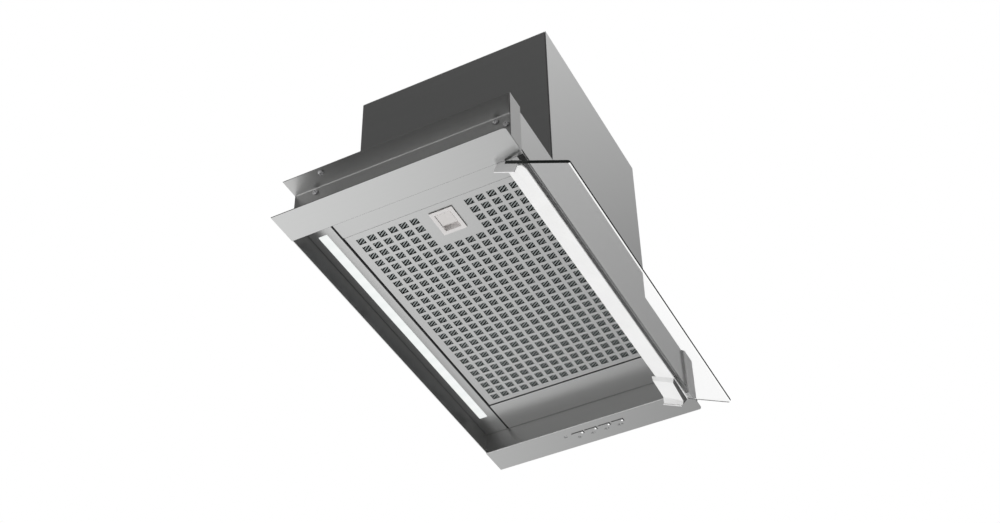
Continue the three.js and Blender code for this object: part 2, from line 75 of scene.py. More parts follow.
# The visor's frame: v runs from the outer edge inwards, w is up, w = 0 is the pane's lower face.
VISOR_TILT = math.radians(25.1)
VISOR_DEPTH = 78.7
VISOR_GLASS = 4.0
VISOR_HALF = hood_box("visor_glass")[1].x
PANE_OUTER = Vector((0.0, -190.03, -36.4))
VISOR_IN = Vector((0.0, math.cos(VISOR_TILT), math.sin(VISOR_TILT)))
VISOR_UP = Vector((0.0, -math.sin(VISOR_TILT), math.cos(VISOR_TILT)))


def on_visor(x, v, w):
    """A point of the visor's frame, in metres in the row frame."""
    p = PANE_OUTER + VISOR_IN * v + VISOR_UP * w
    return at(x, p.y, p.z)


# ---- materials ---------------------------------------------------------------------------------
def math_node(tree, how, a, b=0.0):
    """A Math node on two values, each a number or a socket."""
    made = tree.nodes.new("ShaderNodeMath")
    made.operation = how
    for socket, value in zip(made.inputs, (a, b)):
        if isinstance(value, (int, float)):
            socket.default_value = value
        else:
            tree.links.new(value, socket)
    return made.outputs[0]


class Finish:
    """A Principled material and the few helpers that its texture nodes need."""

    def __init__(self, name, color, rough, metal=0.0, **uniform):
        self.material = bpy.data.materials.new(name)
        self.material.use_nodes = True
        self.tree = self.material.node_tree
        self.shader = self.tree.nodes["Principled BSDF"]
        self.set("Base Color", (*color, 1.0))
        self.set("Roughness", rough)
        self.set("Metallic", metal)
        for key, value in uniform.items():
            self.set(key.replace("_", " "), value)
        self.where = self.node("ShaderNodeTexCoord").outputs["Object"]

    def set(self, socket, value):
        self.shader.inputs[socket].default_value = value

    def node(self, kind, **settings):
        made = self.tree.nodes.new(kind)
        for key, value in settings.items():
            setattr(made, key, value)
        return made

    def link(self, source, target):
        self.tree.links.new(source, target)

    def stretched(self, x, y, z):
        mapping = self.node("ShaderNodeMapping")
        mapping.inputs["Scale"].default_value = (x, y, z)
        self.link(self.where, mapping.inputs["Vector"])
        return mapping.outputs["Vector"]

    def noise(self, vector, scale, detail=3.0, rough=0.55, twist=0.0):
        made = self.node("ShaderNodeTexNoise")
        made.inputs["Scale"].default_value = scale
        made.inputs["Detail"].default_value = detail
        made.inputs["Roughness"].default_value = rough
        made.inputs["Distortion"].default_value = twist
        self.link(vector, made.inputs["Vector"])
        return made.outputs["Fac"]

    def cells(self, vector, scale, output="Color", feature="F1"):
        made = self.node("ShaderNodeTexVoronoi", feature=feature)
        made.inputs["Scale"].default_value = scale
        self.link(vector, made.inputs["Vector"])
        return made.outputs[output]

    def ramp(self, value, low, high, at_low=0.3, at_high=0.7):
        """Maps a 0 to 1 texture onto a number range."""
        made = self.node("ShaderNodeMapRange")
        made.inputs["From Min"].default_value = at_low
        made.inputs["From Max"].default_value = at_high
        made.inputs["To Min"].default_value = low
        made.inputs["To Max"].default_value = high
        self.link(value, made.inputs["Value"])
        return made.outputs["Result"]

    def blend(self, value, dark, light):
        made = self.node("ShaderNodeMix", data_type="RGBA")
        made.inputs[6].default_value = (*dark, 1.0)
        made.inputs[7].default_value = (*light, 1.0)
        self.link(value, made.inputs[0])
        return made.outputs[2]

    def maths(self, how, a, b):
        return math_node(self.tree, how, a, b)

    def bump(self, height, strength, distance):
        made = self.node("ShaderNodeBump")
        made.inputs["Strength"].default_value = strength
        made.inputs["Distance"].default_value = distance
        self.link(height, made.inputs["Height"])
        self.link(made.outputs["Normal"], self.shader.inputs["Normal"])

    def drive(self, socket, source):
        self.link(source, self.shader.inputs[socket])


def brushed(name, grain, color=(0.78, 0.785, 0.78), rough=0.3):
    """Brushed stainless steel with its grain along one axis of the row frame."""
    made = Finish(name, color, rough, metal=1.0)

    def grained(along, across, detail):
        scales = [along if axis == grain else across for axis in "xyz"]
        return made.noise(made.stretched(*scales), 1.0, detail=detail)

    streaks = grained(9.0, 1500.0, 4.0)
    bands = grained(3.0, 260.0, 2.0)
    both = made.maths(
        "ADD", made.maths("MULTIPLY", streaks, 0.6), made.maths("MULTIPLY", bands, 0.4)
    )
    dark = tuple(c * 0.985 for c in color)
    light = tuple(c * 1.012 for c in color)
    made.drive("Base Color", made.blend(made.ramp(both, 0.0, 1.0), dark, light))
    made.drive("Roughness", made.ramp(both, rough - 0.02, rough + 0.02))
    made.bump(streaks, 0.02, 0.0002)
    return made.material


def zinc(name, color=(0.56, 0.57, 0.58), rough=0.42):
    """Zinc-coated sheet with its frost-like crystals."""
    made = Finish(name, color, rough, metal=1.0)
    crystals = made.cells(made.where, 120.0)
    grey = made.node("ShaderNodeRGBToBW")
    made.link(crystals, grey.inputs["Color"])
    wander = made.noise(made.where, 30.0)
    shade = made.maths("ADD", grey.outputs["Val"], made.ramp(wander, -0.15, 0.15))
    dark = tuple(c * 0.82 for c in color)
    light = tuple(c * 1.12 for c in color)
    made.drive("Base Color", made.blend(shade, dark, light))
    made.drive("Roughness", made.ramp(grey.outputs["Val"], rough - 0.08, rough + 0.1, 0.2, 0.8))
    made.bump(wander, 0.05, 0.0004)
    return made.material


def moulded(name, color, rough, grain=900.0, depth=0.08, **uniform):
    """Plastic, paint or plated metal with a fine skin and faint uneven gloss."""
    made = Finish(name, color, rough, **uniform)
    skin = made.noise(made.where, grain, detail=2.0)
    flow = made.noise(made.where, 22.0, detail=3.0, twist=0.4)
    light = tuple(min(1.0, c * 1.02 + 0.002) for c in color)
    dark = tuple(c * 0.97 for c in color)
    made.drive("Base Color", made.blend(made.ramp(flow, 0.0, 1.0), dark, light))
    made.drive("Roughness", made.ramp(flow, rough - 0.05, rough + 0.06))
    made.bump(skin, depth, 0.0001)
    return made.material


def clear_glass(name):
    """Float glass: clear, with a trace of handling on its faces."""
    made = Finish(name, (0.995, 0.995, 0.995), 0.0, Transmission_Weight=1.0, IOR=1.45)
    traces = made.noise(made.where, 26.0, detail=5.0, twist=1.2)
    made.drive("Roughness", made.ramp(traces, 0.0, 0.02, 0.5, 0.8))
    return made.material


def glass_edge_painted_shade(name):
    """The pane's ground and polished end, painted near-black: painted shade for how dark it looks
    along the glass's length.
    """
    made = Finish(name, (0.012, 0.015, 0.014), 0.2)
    grind = made.noise(made.stretched(900.0, 40.0, 900.0), 1.0)
    made.drive("Roughness", made.ramp(grind, 0.15, 0.3))
    made.drive("Base Color", made.blend(grind, (0.008, 0.01, 0.009), (0.018, 0.022, 0.02)))
    return made.material


def painted_glow_glass_edge(name):
    """The pane's polished long edge, made to glow: a painted highlight for the light gathered
    inside the glass.
    """
    made = Finish(name, (0.1, 0.1, 0.1), 0.15)
    gathered = made.noise(made.stretched(30.0, 400.0, 400.0), 1.0)
    made.drive("Emission Color", made.blend(gathered, (0.9, 0.905, 0.9), (0.97, 0.975, 0.97)))
    made.set("Emission Strength", 1.0)
    return made.material


def lamp(name):
    """Milky diffuser of the light strip, a little brighter over each diode behind it."""
    made = Finish(name, (0.06, 0.06, 0.06), 0.4)
    diodes = made.node("ShaderNodeTexWave", wave_type="BANDS", bands_direction="X")
    diodes.inputs["Scale"].default_value = 16.0
    made.link(made.where, diodes.inputs["Vector"])
    glow = made.blend(diodes.outputs["Fac"], (0.84, 0.87, 0.86), (0.88, 0.9, 0.895))
    made.drive("Emission Color", glow)
    made.set("Emission Strength", 1.0)
    return made.material


def circuit(name):
    """Green circuit board with its copper runs under the mask."""
    made = Finish(name, (0.02, 0.13, 0.06), 0.4)
    runs = made.cells(made.stretched(90.0, 260.0, 90.0), 1.0, "Distance", "DISTANCE_TO_EDGE")
    line = made.ramp(runs, 1.0, 0.0, 0.04, 0.1)
    made.drive("Base Color", made.blend(line, (0.015, 0.11, 0.05), (0.05, 0.24, 0.1)))
    made.bump(line, 0.2, 0.0002)
    return made.material


def woven(name, color, rough):
    """Aluminium strands of the filter, dulled by use. Near-black, the same finish is painted shade
    for the filter's depth.
    """
    made = Finish(name, color, rough, metal=1.0)
    film = made.noise(made.where, 60.0, detail=4.0)
    dark = tuple(c * 0.75 for c in color)
    made.drive("Base Color", made.blend(made.ramp(film, 0.0, 1.0), dark, color))
    made.drive("Roughness", made.ramp(film, rough - 0.08, rough + 0.1))
    made.bump(made.noise(made.where, 1200.0), 0.1, 0.0002)
    return made.material


STEEL_X = brushed("steel_grain_x", "x")
STEEL_Y = brushed("steel_grain_y", "y")
END_STEEL = brushed("end_panel_steel", "y", (0.77, 0.77, 0.765), 0.42)
# Light steel for folds and hems: a painted highlight along those edges.
PAINTED_HIGHLIGHT_STEEL = moulded("steel_edge_painted_highlight", (0.88, 0.88, 0.87), 0.35, Metallic=0.15)
ZINC = zinc("zinc_sheet")
STRAND = woven("filter_strand", (0.55, 0.59, 0.585), 0.38)
# Near-black strands and sheets behind the filter's mesh: painted shade for its depth.
PAINTED_SHADE_BACKING = woven("filter_backing_painted_shade", (0.065, 0.07, 0.07), 0.6)
WHITE = moulded("white_plastic", (0.955, 0.955, 0.95), 0.45)
LATCH = moulded("latch_plastic", (0.83, 0.8, 0.785), 0.4)
BEZEL = moulded("latch_bezel_plastic", (0.88, 0.855, 0.845), 0.4)
# Black plastic of the fan, housings, flaps, spigot and gland; the same black is painted shade on
# the front ceiling strip, the left trim's hem, the apron's strips and the channel seam's strip.
BLACK = moulded("black_plastic", (0.018, 0.019, 0.02), 0.5, depth=0.2, Specular_IOR_Level=0.35)
GREY = moulded("grey_plastic", (0.3, 0.31, 0.32), 0.5, depth=0.2)
CHROME = moulded("bright_screw", (0.86, 0.86, 0.87), 0.16, Metallic=0.55)
# Dark grey for the damper cover's outer side: painted shade.
PAINTED_SHADE_GREY = moulded("damper_side_painted_shade", (0.15, 0.15, 0.15), 0.5)
LENS = moulded("lens_plastic", (0.5, 0.51, 0.51), 0.35)
DARK_INK = moulded("grey_ink", (0.12, 0.12, 0.12), 0.6)
LIT_DOT = moulded(
    "lit_dot", (0.9, 0.9, 0.9), 0.5, Emission_Color=(1, 1, 1, 1), Emission_Strength=0.6
)
GLASS = clear_glass("clear_glass")
# Painted shade on the pane's dark end faces.
PAINTED_SHADE_EDGE = glass_edge_painted_shade("glass_edge_painted_shade")
# Painted glow on the lower part of the pane's outer edge.
PAINTED_GLOW_EDGE = painted_glow_glass_edge("glass_edge_painted_glow")
LAMP = lamp("lamp_diffuser")
BOARD = circuit("circuit_board")


# ---- making pieces -----------------------------------------------------------------------------
def mesh_of(bm, name="part"):
    made = bpy.data.meshes.new(name)
    bmesh.ops.recalc_face_normals(bm, faces=bm.faces)
    bm.to_mesh(made)
    bm.free()
    return made


def piece(name, body, materials, mesh, replaces=(), smooth=30):
    """A new object in the row frame, from a mesh or bmesh, that rides on a CAD body."""
    if isinstance(mesh, bmesh.types.BMesh):
        mesh = mesh_of(mesh, name)
    for material in materials if isinstance(materials, (list, tuple)) else [materials]:
        mesh.materials.append(material)
    if smooth:
        mesh.shade_smooth()
        mesh.set_sharp_from_angle(angle=math.radians(smooth))
    made = bpy.data.objects.new(name, mesh)
    bpy.context.scene.collection.objects.link(made)
    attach(made, body)
    if replaces:
        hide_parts(*replaces)
    return made


def rounded(obj, width, segments, angle=40):
    """Rounds an object's edges by a width in millimetres, and gives back the bevel."""
    bevel = obj.modifiers.new("rounding", "BEVEL")
    bevel.width = width * MM
    bevel.segments = segments
    bevel.limit_method = "ANGLE"
    bevel.angle_limit = math.radians(angle)
    return bevel


WELD_GAP = 2e-6


def soften(node, material, width=0.3, segments=2):
    """Gives a CAD node its material, and rounds its edges as folded or moulded ones are."""
    obj = NODES[node]
    mesh = obj.data
    for name in ("custom_normal", "sharp_edge", "sharp_face"):
        if name in mesh.attributes:
            mesh.attributes.remove(mesh.attributes[name])
    mesh.materials.clear()
    mesh.materials.append(material)
    mesh.shade_smooth()
    weld = obj.modifiers.new("weld", "WELD")
    weld.merge_threshold = WELD_GAP
    rounded(obj, width, segments).harden_normals = True
    return obj


def add_box(bm, low, high, place=at):
    """A box between two corners, with place turning its millimetres into row metres."""
    corners = [
        bm.verts.new(place(x, y, z))
        for x in (low[0], high[0])
        for y in (low[1], high[1])
        for z in (low[2], high[2])
    ]
    for a, b, c, d in (
        (0, 1, 3, 2), (4, 6, 7, 5), (0, 4, 5, 1), (2, 3, 7, 6), (0, 2, 6, 4), (1, 5, 7, 3),
    ):
        bm.faces.new([corners[i] for i in (a, b, c, d)])


def add_prism(bm, outline, start, end, place):
    """An outline of (a, b) pairs, carried from one level to the other."""
    rings = [[bm.verts.new(place(a, b, level)) for a, b in outline] for level in (start, end)]
    bm.faces.new(rings[0])
    bm.faces.new(rings[1][::-1])
    count = len(outline)
    for i in range(count):
        j = (i + 1) % count
        bm.faces.new((rings[0][i], rings[1][i], rings[1][j], rings[0][j]))


def add_lathe(bm, profile, centre, turn, segments=48):
    """(radius, height) pairs spun about an axis: turn takes +Z onto that axis."""
    rings = []
    for radius, height in profile:
        if radius < 1e-6:
            rings.append([bm.verts.new(centre + turn @ Vector((0, 0, height * MM)))])
            continue
        ring = []
        for i in range(segments):
            angle = 2 * math.pi * i / segments
            local = Vector((radius * math.cos(angle), radius * math.sin(angle), height)) * MM
            ring.append(bm.verts.new(centre + turn @ local))
        rings.append(ring)
    for a, b in zip(rings, rings[1:]):
        for i in range(segments):
            j = (i + 1) % segments
            face = [a[i % len(a)], a[j % len(a)], b[j % len(b)], b[i % len(b)]]
            unique = list(dict.fromkeys(face))
            if len(unique) > 2:
                bm.faces.new(unique)


UP = Matrix.Identity(3)


def pointing(direction):
    """The rotation that takes +Z onto a direction."""
    return Vector((0, 0, 1)).rotation_difference(Vector(direction)).to_matrix()


# ---- sheet metal and plain parts: CAD shapes with their finish ---------------------------------
for node in ("front_panel", "back_panel", "light_channel", "duct_box_back"):
    soften(node, STEEL_X, 0.35)
for node in (
    "ceiling_strip_left", "ceiling_strip_right",
    "duct_box_left_side", "duct_box_right_side", "duct_box_top",
):
    soften(node, STEEL_Y, 0.35)
for node in ("left_end_panel", "right_end_panel"):
    soften(node, END_STEEL, 0.7)
for node in ("left_trim", "right_trim"):
    soften(node, STEEL_Y, 0.55, 3)
for i in range(1, 5):
    soften(f"button_{i}", STEEL_Y, 0.3)
for node in (
    "top_plate", "led_housing", "scroll_wrap", "scroll_side_left", "scroll_side_right",
    "motor_shaft", "motor_body", "motor_bracket",
):
    soften(node, ZINC, 0.2)
# ceiling_strip_front is black as painted shade for the dark gap behind the visor's rail; the other
# parts here are black plastic.
for node in (
    "control_housing", "led_driver", "impeller", "capacitor",
    "damper_flap_front", "damper_flap_rear", "visor_damper", "ceiling_strip_front",
):
    soften(node, BLACK, 0.2)
soften("terminal_box", GREY, 1.5, 3)
soften("latch_housing", BEZEL, 0.45, 3)
soften("latch_slider", LATCH, 0.45, 3)
soften("indicator_lens", LENS, 0.3)
soften("led_diffuser", LAMP, 0.3).visible_glossy = False
soften("control_board", BOARD, 0.1)
soften("led_board", BOARD, 0.1).visible_glossy = False
for node in ("visor_rail", "visor_arm_left", "visor_arm_right"):
    soften(node, WHITE, 0.3, 3)
for node in ("pivot_pin_left", "pivot_pin_right"):
    soften(node, CHROME, 0.2)


# ---- folds, hems and strips of the casing: painted highlights and painted shade ----------------
# The end walls' outer faces and the underside of their side flanges.
END_WALL_X = 230.5
FLANGE_Z = 66.5


def fold_radii():
    """Inner radius of the fold between each end wall and its side flange."""
    bm = bmesh.new()
    radius, steps, end_gap = 0.8, 5, 2
    for side, node in ((-1, "left_end_panel"), (1, "right_end_panel")):
        low, high = hood_box(node)
        section = [(side * END_WALL_X, FLANGE_Z), (side * END_WALL_X, FLANGE_Z - radius)]
        for i in range(1, steps):
            turn = math.pi / 2 * i / steps
            section.append((
                side * (END_WALL_X + radius - radius * math.cos(turn)),
                FLANGE_Z - radius + radius * math.sin(turn),
            ))
        section.append((side * (END_WALL_X + radius), FLANGE_Z))
        add_prism(bm, section, low.y + end_gap, high.y - end_gap, along_depth)
    return bm


# The folds are light steel: a painted highlight along each fold.
piece("end_panel_folds_painted_highlight", "casing", PAINTED_HIGHLIGHT_STEEL, fold_radii())


def trim_hem(side, node):
    """Half-round hem along the inner edge of a trim."""
    bm = bmesh.new()
    steps, overlap, end_gap = 8, 0.1, 0.4
    low, high = hood_box(node)
    edge = min(abs(low.x), abs(high.x))
    radius = (high.z - low.z) / 2
    section = []
    for i in range(steps + 1):
        turn = math.pi * i / steps - math.pi / 2
        section.append((
            side * (edge + overlap - radius * math.cos(turn)),
            low.z + radius + radius * math.sin(turn),
        ))
    add_prism(bm, section, low.y + end_gap, high.y - end_gap, along_depth)
    return bm


# The left hem is black: a painted shade line along the left trim's inner edge. The right hem is
# light steel: a painted highlight along the right trim's inner edge.
piece("left_trim_hem_painted_shade", "casing", BLACK, trim_hem(-1, "left_trim"))
piece("right_trim_hem_painted_highlight", "casing", PAINTED_HIGHLIGHT_STEEL, trim_hem(1, "right_trim"))


def apron_shade_strips():
    """Black strips along the lower edge and the right end of the apron: painted shade for the dark
    gaps there.
    """
    bm = bmesh.new()
    low, high = hood_box("front_panel")
    left_gap, proud, below, lap = 2, 0.5, 0.2, 1.7
    end_width, end_proud, past_end, top_gap = 2.4, 1.8, 0.3, 1.5
    join = low.z + lap
    top = hood_box("right_end_panel")[1].z - top_gap
    add_box(bm, (low.x + left_gap, low.y - proud, low.z - below), (high.x, low.y, join))
    add_box(bm, (high.x - end_width, low.y - end_proud, join), (high.x + past_end, low.y, top))
    return bm


# Black as painted shade along the apron's lower edge and right end.
piece("apron_shade_strips", "casing", BLACK, apron_shade_strips())


def strip_lip():
    """Raised lip of the left ceiling strip, beside the filter."""
    bm = bmesh.new()
    overlap, end_gap, bottom, top = 0.2, 1, 0.2, 0.9
    strip_low, strip_high = hood_box("ceiling_strip_left")
    edge = hood_box("filter_face")[0].x
    add_box(
        bm,
        (strip_high.x - overlap, strip_low.y + end_gap, strip_low.z + bottom),
        (edge + overlap, strip_high.y - end_gap, strip_low.z + top),
    )
    return bm


piece("left_strip_lip", "casing", STEEL_Y, strip_lip())


def channel_shade_strip():
    """Black strip in the seam between the light channel and the filter's zone: painted shade that
    widens the seam's dark line.
    """
    bm = bmesh.new()
    end_gap, clear, overlap, proud, height = 1, 0.1, 0.7, 0.15, 0.8
    strip_low, strip_high = hood_box("ceiling_strip_left")
    channel_low, channel_high = hood_box("light_channel")
    add_box(
        bm,
        (channel_low.x + end_gap, strip_high.y + clear, strip_low.z - proud),
        (channel_high.x - end_gap, channel_low.y + overlap, strip_low.z + height),
    )
    return bm


# Black as painted shade in the channel seam.
piece("channel_shade_strip", "casing", BLACK, channel_shade_strip())


# ---- grease filter: perforated face, strands behind it, and strands and sheets of painted shade behind those ---
filter_low, filter_high = hood_box("filter_face")
latch_low, latch_high = hood_box("latch_housing")
FACE_Z = filter_low.z
HOLE = 9.2
PITCH_X, PITCH_Y = 13.58, 13.66
COLUMNS, ROWS = 25, 15
FIRST_X, FIRST_Y = -165.75, 91.9
hole_x = [FIRST_X + PITCH_X * i for i in range(COLUMNS)]
hole_y = [FIRST_Y - PITCH_Y * j for j in range(ROWS)]
# The block of holes that the latch takes up, and the opening for its cup: x0, x1, y0, y1.
LATCH_COLUMNS, LATCH_ROWS = range(0, 4), range(6, 10)
BEZEL_X, BEZEL_Y = 3.4, 3.0
latch_cut = (
    latch_low.x + BEZEL_X, latch_high.x - BEZEL_X, latch_low.y + BEZEL_Y, latch_high.y - BEZEL_Y,
)
# How far the mesh stays from the filter's rim and from the cup, and at what depth the sheets of
# painted shade lie.
RIM_GAP, CUP_GAP = 2, 1
SHADE_SHEETS_LOW, SHADE_SHEETS_HIGH = 3.4, 7.0
TINY = 1e-6


def perforated_face():
    """The sheet of square holes with its rim turned up, without thickness."""
    half = HOLE / 2
    margin = Vector((0.4, 0.4, 0.0))
    low_corner, high_corner = filter_low + margin, filter_high - margin
    xs = {low_corner.x, high_corner.x, latch_cut[0], latch_cut[1]}
    ys = {low_corner.y, high_corner.y, latch_cut[2], latch_cut[3]}
    for x in hole_x:
        xs |= {x - half, x + half}
    for y in hole_y:
        ys |= {y - half, y + half}
    xs, ys = sorted(xs), sorted(ys)

    def open_at(x, y):
        if latch_cut[0] < x < latch_cut[1] and latch_cut[2] < y < latch_cut[3]:
            return True
        for i, hx in enumerate(hole_x):
            if abs(x - hx) < half:
                for j, hy in enumerate(hole_y):
                    if abs(y - hy) < half:
                        return not (i in LATCH_COLUMNS and j in LATCH_ROWS)
        return False

    bm = bmesh.new()
    grid = {
        (i, j): bm.verts.new(at(x, y, FACE_Z))
        for i, x in enumerate(xs) for j, y in enumerate(ys)
    }
    for i in range(len(xs) - 1):
        for j in range(len(ys) - 1):
            if not open_at((xs[i] + xs[i + 1]) / 2, (ys[j] + ys[j + 1]) / 2):
                bm.faces.new([grid[i, j], grid[i, j + 1], grid[i + 1, j + 1], grid[i + 1, j]])
    loose = [v for v in bm.verts if not v.link_faces]
    bmesh.ops.delete(bm, geom=loose, context="VERTS")
    low, high = at(*low_corner), at(*high_corner)
    rim = [
        e for e in bm.edges
        if e.is_boundary and any(
            all(abs(v.co[axis] - side[axis]) < TINY for v in e.verts)
            for axis in (0, 1) for side in (low, high)
        )
    ]
    raised = bmesh.ops.extrude_edge_only(bm, edges=rim)["geom"]
    top = [v for v in raised if isinstance(v, bmesh.types.BMVert)]
    bmesh.ops.translate(bm, verts=top, vec=(0, 0, (filter_high.z - FACE_Z) * MM))
    return bm


def pressed_panel():
    """The perforated face with its rounded rim and the sheet's thickness."""
    rim_radius, sheet_thickness = 0.45, 0.7
    sheet = bpy.data.objects.new("sheet", mesh_of(perforated_face(), "sheet"))
    bpy.context.scene.collection.objects.link(sheet)
    rounded(sheet, rim_radius, 3, 60)
    skin = sheet.modifiers.new("thickness", "SOLIDIFY")
    skin.thickness = sheet_thickness * MM
    skin.offset = -1.0
    graph = bpy.context.evaluated_depsgraph_get()
    made = bpy.data.meshes.new_from_object(sheet.evaluated_get(graph))
    bpy.data.objects.remove(sheet)
    return made


piece("filter_panel", "filter", STEEL_X, pressed_panel(), ["filter_face"], smooth=12)


def clipped(p, q, window):
    """The part of segment p to q inside a rectangle, as two parameters, or None."""
    x0, x1, y0, y1 = window
    start, end = 0.0, 1.0
    for a, d, low, high in ((p[0], q[0] - p[0], x0, x1), (p[1], q[1] - p[1], y0, y1)):
        if abs(d) < TINY:
            if not low <= a <= high:
                return None
            continue
        s, t = sorted(((low - a) / d, (high - a) / d))
        start, end = max(start, s), min(end, t)
    return (start, end) if end > start else None


mesh_window = (
    filter_low.x + RIM_GAP, filter_high.x - RIM_GAP,
    filter_low.y + RIM_GAP, filter_high.y - RIM_GAP,
)
cup = tuple(edge + gap for edge, gap in zip(latch_cut, (-CUP_GAP, CUP_GAP, -CUP_GAP, CUP_GAP)))


def strand_net(slope, pitch, width, level):
    """A layer of strands slanted by a slope in degrees, kept clear of the latch's cup."""
    bm = bmesh.new()
    thick, shortest = 0.5, 0.002
    slope = math.radians(slope)
    along = Vector((math.cos(slope), math.sin(slope)))
    across = Vector((-along.y, along.x))
    reach = 260
    count = int(reach / pitch)
    for k in range(-count, count + 1):
        centre = across * (k * pitch)
        p, q = centre - along * reach, centre + along * reach
        inside = clipped(p, q, mesh_window)
        if not inside:
            continue
        spans = [inside]
        gap = clipped(p, q, cup)
        if gap:
            spans = [(inside[0], gap[0]), (gap[1], inside[1])]
        for s, t in spans:
            if t - s < shortest:
                continue
            a, b = p + (q - p) * s, p + (q - p) * t
            side = across * (width / 2)
            outline = [a - side, b - side, b + side, a + side]
            add_prism(bm, outline, FACE_Z + level, FACE_Z + level + thick, at)
    return bm


piece(
    "filter_strands", "filter", STRAND,
    strand_net(56, 3.15, 1.46, 1.0), ["filter_mesh"], smooth=0,
)
# The second layer of strands is near-black: painted shade.
piece(
    "filter_strands_behind_painted_shade", "filter", PAINTED_SHADE_BACKING,
    strand_net(-34, 3.1, 1.2, 2.6), smooth=0,
)


def painted_shade_sheets():
    """Near-black sheets behind the strands: painted shade for the deeper folds of the filter's
    mesh.
    """
    bm = bmesh.new()
    x0, x1, y0, y1 = cup
    low_x, high_x, low_y, high_y = mesh_window
    for a, b, c, d in (
        (low_x, high_x, low_y, y0), (low_x, high_x, y1, high_y),
        (low_x, x0, y0, y1), (x1, high_x, y0, y1),
    ):
        add_box(bm, (a, c, FACE_Z + SHADE_SHEETS_LOW), (b, d, FACE_Z + SHADE_SHEETS_HIGH))
    return bm


# Near-black sheets: painted shade.
piece("filter_backing_painted_shade", "filter", PAINTED_SHADE_BACKING, painted_shade_sheets(), smooth=0)


# ---- glass pane of the visor -------------------------------------------------------------------
def pane():
    """The pane with rounded outer corners and bevelled edges.

    Its left end and the upper part of its outer edge are painted near-black as painted shade, and
    the lower part of its outer edge glows as a painted highlight.
    """
    corner, steps, bevel, dark_from = 3.0, 6, 0.5, 1.6
    # Slot 1 holds the painted shade, slot 2 the painted glow.
    dark, lit = 1, 2  # material slots

    def ring(inset, w):
        half, outer, inner = VISOR_HALF - inset, inset, VISOR_DEPTH - inset
        radius = corner - inset
        points = [(half, inner), (-half, inner)]
        for side in (-1, 1):
            for i in range(steps + 1):
                turn = math.pi / 2 * (i / steps if side < 0 else 1 - i / steps)
                points.append((
                    side * (half - radius + radius * math.cos(turn)),
                    outer + radius - radius * math.sin(turn),
                ))
        return [bm.verts.new(on_visor(x, v, w)) for x, v in points]

    bm = bmesh.new()
    top = VISOR_GLASS
    rings = [
        ring(bevel, 0), ring(0, bevel), ring(0, dark_from), ring(0, top - bevel), ring(bevel, top),
    ]
    bm.faces.new(rings[0])
    bm.faces.new(rings[-1])
    sides = []
    for a, b in zip(rings, rings[1:]):
        turned = zip(a, a[1:] + a[:1], b[1:] + b[:1], b)
        sides.append([bm.faces.new(corners) for corners in turned])
    bmesh.ops.recalc_face_normals(bm, faces=bm.faces)
    # Faces towards -x and the upper faces of the outer edge get the painted shade; the lower faces
    # of the outer edge get the painted glow.
    for level, faces in enumerate(sides):
        for f in faces:
            if f.normal.x < -0.5:
                f.material_index = dark
            elif f.normal.dot(VISOR_IN) < -0.5:
                f.material_index = dark if level >= 2 else lit
    return bm


piece("visor_pane", "visor", [GLASS, PAINTED_SHADE_EDGE, PAINTED_GLOW_EDGE], pane(), ["visor_glass"], smooth=0)


# ---- cover of the friction damper, on the visor's right-hand end -------------------------------
def damper_housing():
    """A shallow cover: it ramps up from the rail, and its end slopes down into the arm."""
    low, high = hood_box("damper_cover")
    start, end = low.x, high.x
    rail_w, face_w, foot_w = -1.3, -5.5, -10.3
    edge_radius = 0.35
    base = [(start, 55.2), (end, 57.2), (end, 87), (start, 86)]
    face = [(start + 5, 57), (end - 2.4, 60.4), (end - 7, 86.4), (start + 4.5, 84.5)]
    foot = [(end, 60.6), (end, 87)]
    bm = bmesh.new()
    b, f, t = (
        [bm.verts.new(on_visor(x, v, w)) for x, v in outline]
        for outline, w in ((base, rail_w), (face, face_w), (foot, foot_w))
    )
    for corners in (
        b, f, (b[0], f[0], f[3], b[3]), (b[0], b[1], f[1], f[0]), (b[3], f[3], f[2], b[2]),
        (b[1], t[0], f[1]), (b[2], f[2], t[1]), (f[1], t[0], t[1], f[2]), (b[1], b[2], t[1], t[0]),
    ):
        bm.faces.new(corners)
    bmesh.ops.recalc_face_normals(bm, faces=bm.faces)
    bmesh.ops.bevel(
        bm, geom=list(bm.edges), offset=edge_radius * MM, segments=3, profile=0.5,
        affect="EDGES", clamp_overlap=True,
    )
    # The side towards the pane's outer edge is dark grey: painted shade.
    for side in bm.faces:
        side.material_index = 1 if side.normal.dot(VISOR_IN) < -0.5 else 0
    return bm


piece(
    "damper_housing", "visor", [WHITE, PAINTED_SHADE_GREY], damper_housing(),
    ["damper_cover"], smooth=35,
)


# ---- screws with a cross recess, and rivets ----------------------------------------------------
def boolean(target, cutter):
    """The target mesh less the cutter mesh."""
    objects = [bpy.data.objects.new(f"tool_{i}", m) for i, m in enumerate((target, cutter))]
    for o in objects:
        bpy.context.scene.collection.objects.link(o)
    difference = objects[0].modifiers.new("cut", "BOOLEAN")
    difference.operation = "DIFFERENCE"
    difference.solver = "EXACT"
    difference.object = objects[1]
    graph = bpy.context.evaluated_depsgraph_get()
    made = bpy.data.meshes.new_from_object(objects[0].evaluated_get(graph))
    for o in objects:
        bpy.data.objects.remove(o)
    return made


SHANK = 3


def screw_mesh():
    """Pan-head screw along +Z, seated at z = 0."""
    bm = bmesh.new()
    profile = [
        (0, -SHANK), (1.8, -SHANK), (1.8, 0.4), (3.5, 0.4), (3.6, 0.6), (3.6, 1.3), (3.3, 1.9),
        (2.6, 2.4), (1.6, 2.65), (0, 2.7),
    ]
    add_lathe(bm, profile, Vector(), UP, 40)
    head = mesh_of(bm)
    arm, half, bottom, top = 2.0, 0.42, 1.2, 3.5
    for x, y in ((arm, half), (half, arm)):
        slot = bmesh.new()
        add_box(slot, (-x, -y, bottom), (x, y, top), about(Vector()))
        head = boolean(head, mesh_of(slot))
    return head


